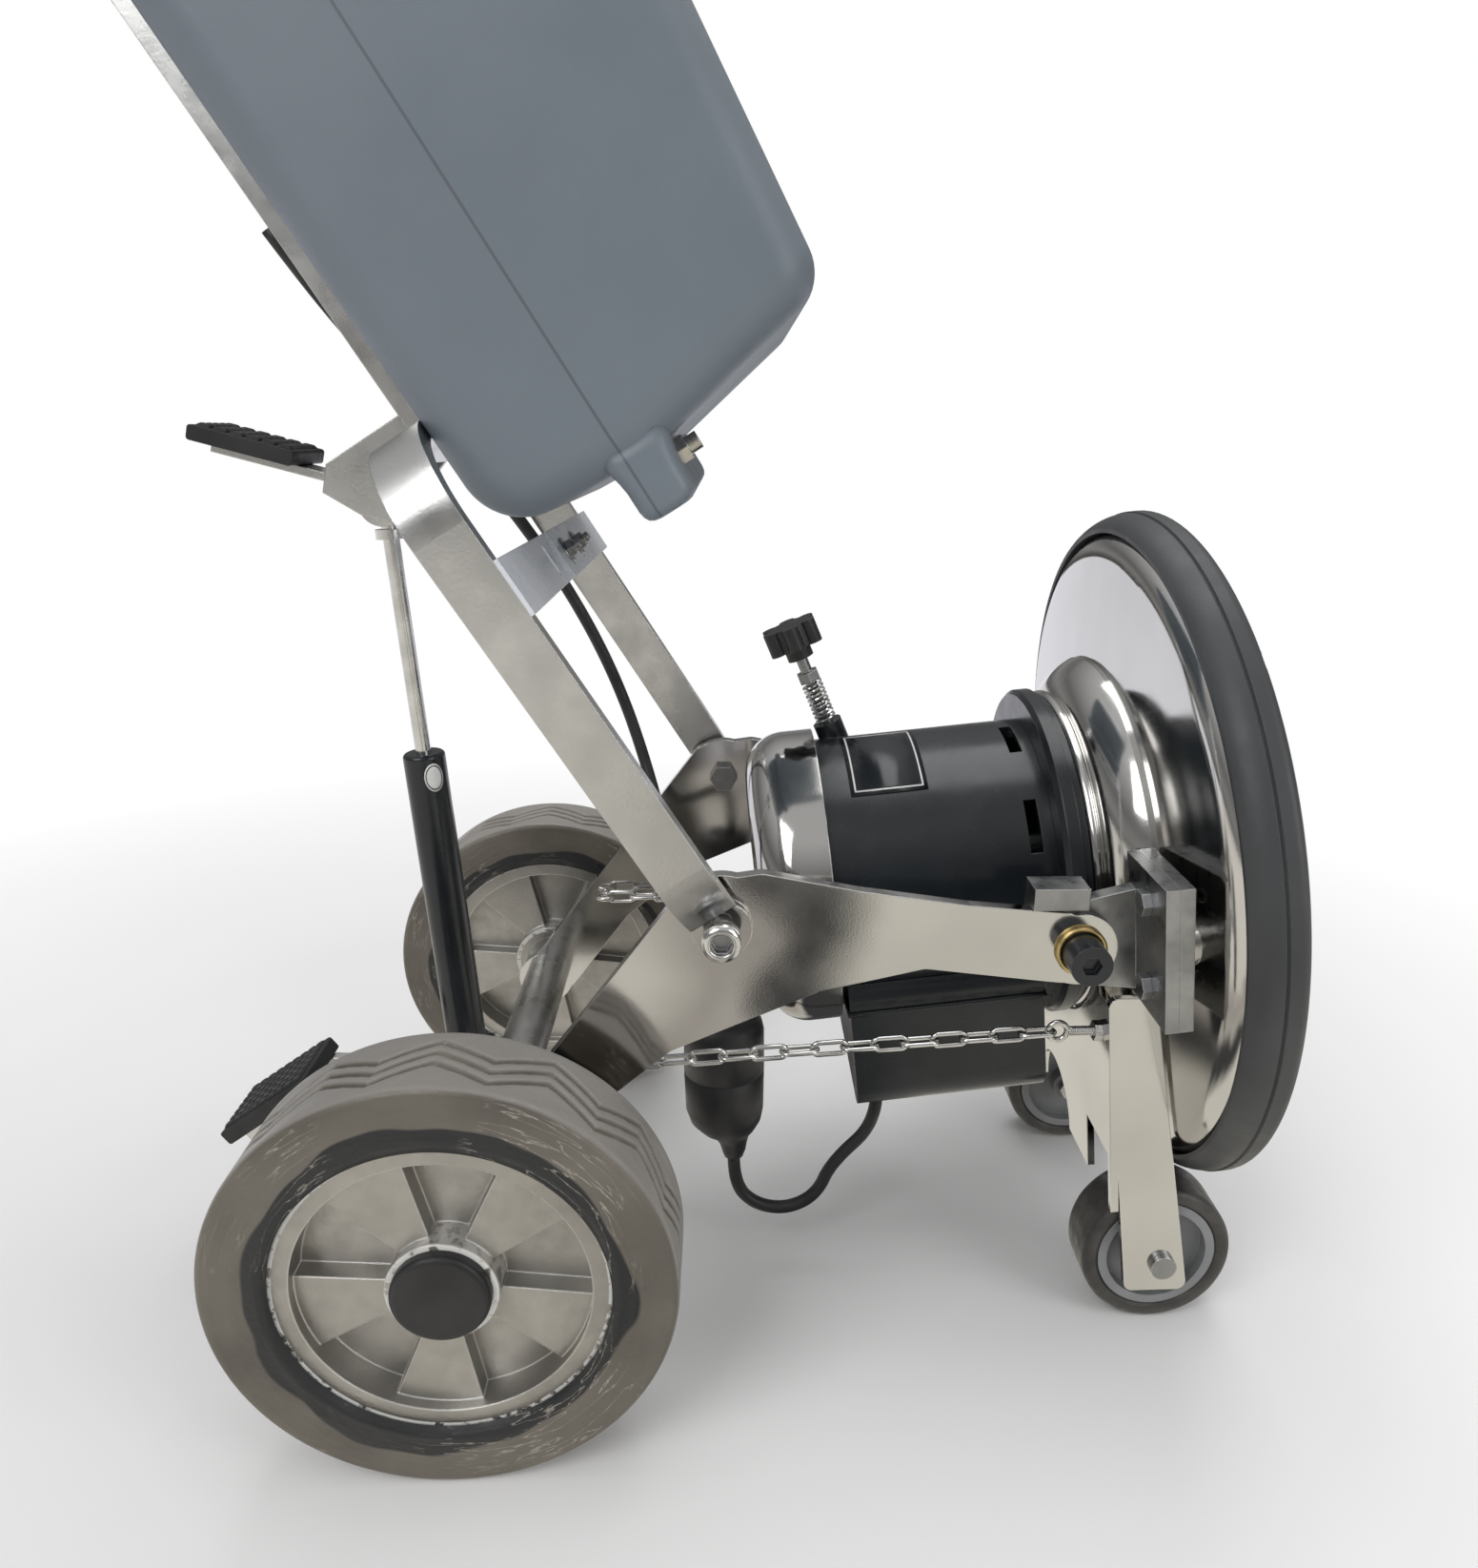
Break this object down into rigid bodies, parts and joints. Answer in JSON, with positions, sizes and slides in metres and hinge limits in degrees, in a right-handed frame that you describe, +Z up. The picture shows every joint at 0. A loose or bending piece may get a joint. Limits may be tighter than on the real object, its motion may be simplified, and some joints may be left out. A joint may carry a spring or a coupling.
{
  "type": "floor polisher",
  "caption": "Wheeled floor polisher parked with its polishing head on edge, leaning handle with solution tank, foot pedals and safety chains.",
  "frame": {"origin": "middle of the bounding box on the floor", "axes": "+Z up, +X forward towards the polishing disc, +Y to the machine's left"},
  "size_m": [0.9296, 0.4614, 1.2092],
  "materials": {
    "polished_steel": "mirror polished",
    "satin_steel": "satin",
    "zinc_plate": "zinc plated",
    "cast_aluminium": "cast",
    "wheel_rubber": "matt",
    "black_rubber": "matt",
    "black_paint": "satin",
    "tank_grey": "moulded",
    "black_plastic": "moulded",
    "grey_plastic": "moulded",
    "chain_steel": "polished",
    "gear_steel": "machined",
    "brass_fitting": "machined",
    "pad_board": "moulded"
  },
  "bodies": {
    "frame": {"side_plate_right": "polished_steel", "side_plate_left": "polished_steel", "axle_tube": "satin_steel", "foot_pedal_pad": "black_rubber", "axle": "satin_steel", "wheel_bearings": "gear_steel", "handle_pivot_bolts": "zinc_plate", "head_pivot_bolts": "black_paint", "lead_connector": "black_rubber"},
    "wheel_right": {"wheel_rim_right": "cast_aluminium", "tyre_right": "wheel_rubber", "hub_cap_right": "black_plastic"},
    "wheel_left": {"wheel_rim_left": "cast_aluminium", "tyre_left": "wheel_rubber", "hub_cap_left": "black_plastic"},
    "head": {"pivot_lugs": "zinc_plate", "flange_plates": "zinc_plate", "head_bolts": "zinc_plate", "dome": "polished_steel", "bumper": "black_rubber", "gear_housing": "polished_steel", "motor_flange": "black_paint", "motor_shell": "black_paint", "motor_end_cap": "polished_steel", "stator": "gear_steel", "ring_gear": "gear_steel", "capacitor_box": "black_paint", "stand": "polished_steel", "adjuster_spring": "chain_steel", "chain_right": "chain_steel", "chain_left": "chain_steel", "motor_lead": "black_rubber"},
    "caster_right": {"caster_hub_right": "grey_plastic", "caster_tyre_right": "wheel_rubber"},
    "caster_left": {"caster_hub_left": "grey_plastic", "caster_tyre_left": "wheel_rubber"},
    "rotor": {"rotor": "gear_steel"},
    "pad": {"planet_carrier": "gear_steel", "pad_driver": "pad_board"},
    "planet_1": {"planet_gear_1": "gear_steel"},
    "planet_2": {"planet_gear_2": "gear_steel"},
    "planet_3": {"planet_gear_3": "gear_steel"},
    "adjuster": {"adjuster_screw": "zinc_plate", "adjuster_knob": "black_plastic"},
    "handle": {"u_bar": "satin_steel", "cross_bracket": "satin_steel", "stem": "satin_steel", "grips": "black_rubber", "switch_box": "black_plastic", "tank": "tank_grey", "outlet_valve": "brass_fitting", "release_bracket": "satin_steel", "handle_lead": "black_rubber"},
    "tank_cap": {"tank_cap": "black_plastic"},
    "start_lever": {"start_lever": "black_plastic"},
    "lock_button": {"lock_button": "black_plastic"},
    "release_pedal": {"release_pedal": "satin_steel", "release_pad": "black_rubber"},
    "strut_cylinder": {"strut_cylinder": "black_paint"},
    "strut_rod": {"strut_rod": "chain_steel"}
  },
  "joints": [
    {"name": "wheel_right_spin", "type": "hinge", "parent": "frame", "child": "wheel_right", "pos_m": [-0.02387, -0.1987, 0.127], "axis": [0, 1, 0], "continuous": true},
    {"name": "wheel_left_spin", "type": "hinge", "parent": "frame", "child": "wheel_left", "pos_m": [-0.02387, 0.1987, 0.127], "axis": [0, 1, 0], "continuous": true},
    {"name": "head_tilt", "type": "hinge", "parent": "frame", "child": "head", "pos_m": [0.33214, 0, 0.288], "axis": [0, 1, 0], "range_deg": [0, 74], "deforming": ["chain_right", "chain_left", "motor_lead"]},
    {"name": "caster_right_spin", "type": "hinge", "parent": "head", "child": "caster_right", "pos_m": [0.41484, -0.102, 0.05], "axis": [0, 1, 0], "continuous": true},
    {"name": "caster_left_spin", "type": "hinge", "parent": "head", "child": "caster_left", "pos_m": [0.41484, 0.102, 0.05], "axis": [0, 1, 0], "continuous": true},
    {"name": "pad_spin", "type": "hinge", "parent": "head", "child": "pad", "pos_m": [0.39743, 0, 0.3007], "axis": [0.994, 0, 0.1097], "continuous": true},
    {"name": "rotor_spin", "type": "hinge", "parent": "head", "child": "rotor", "pos_m": [0.39743, 0, 0.3007], "axis": [0.994, 0, 0.1097], "continuous": true},
    {"name": "planet_1_spin", "type": "hinge", "parent": "pad", "child": "planet_1", "pos_m": [0.36762, 0.045, 0.29741], "axis": [0.994, 0, 0.1097], "continuous": true},
    {"name": "planet_2_spin", "type": "hinge", "parent": "pad", "child": "planet_2", "pos_m": [0.36334, -0.0225, 0.33614], "axis": [0.994, 0, 0.1097], "continuous": true},
    {"name": "planet_3_spin", "type": "hinge", "parent": "pad", "child": "planet_3", "pos_m": [0.37189, -0.0225, 0.25867], "axis": [0.994, 0, 0.1097], "continuous": true},
    {"name": "adjuster_turn", "type": "hinge", "parent": "head", "child": "adjuster", "pos_m": [0.20214, 0.025, 0.369], "axis": [-0.3907, 0, 0.9205], "continuous": true},
    {"name": "handle_tilt", "type": "hinge", "parent": "frame", "child": "handle", "pos_m": [0.12574, 0, 0.3052], "axis": [0, -1, 0], "range_deg": [0, 25], "deforming": ["handle_lead"]},
    {"name": "strut_swing", "type": "hinge", "parent": "frame", "child": "strut_cylinder", "pos_m": [-0.05586, 0, 0.12], "axis": [0, -1, 0], "range_deg": [0, 15.5]},
    {"name": "strut_slide", "type": "slide", "parent": "strut_cylinder", "child": "strut_rod", "axis": [-0.063, 0, 0.998], "range_m": [-0.0935, 0]},
    {"name": "release_press", "type": "hinge", "parent": "handle", "child": "release_pedal", "pos_m": [-0.10248, 0, 0.53686], "axis": [0, -1, 0], "range_deg": [0, 12], "stiffness_Nm_per_rad": 4},
    {"name": "tank_cap_turn", "type": "hinge", "parent": "handle", "child": "tank_cap", "pos_m": [-0.11693, 0, 0.90945], "axis": [-0.5373, 0, 0.8434], "continuous": true},
    {"name": "start_press", "type": "hinge", "parent": "handle", "child": "start_lever", "pos_m": [-0.36032, 0, 1.13144], "axis": [0, -1, 0], "range_deg": [0, 14], "stiffness_Nm_per_rad": 1.5},
    {"name": "lock_press", "type": "slide", "parent": "handle", "child": "lock_button", "axis": [-0.8434, 0, -0.5373], "range_m": [0, 0.006], "stiffness_N_per_m": 600}
  ],
  "couplings": [
    {"joint": "rotor_spin", "follows": "pad_spin", "ratio": 6},
    {"joint": "planet_1_spin", "follows": "pad_spin", "ratio": -2.5},
    {"joint": "planet_2_spin", "follows": "pad_spin", "ratio": -2.5},
    {"joint": "planet_3_spin", "follows": "pad_spin", "ratio": -2.5},
    {"joint": "strut_swing", "follows": "handle_tilt", "ratio": 0.59256},
    {"joint": "strut_slide", "follows": "handle_tilt", "m_per_rad": -0.2128}
  ]
}
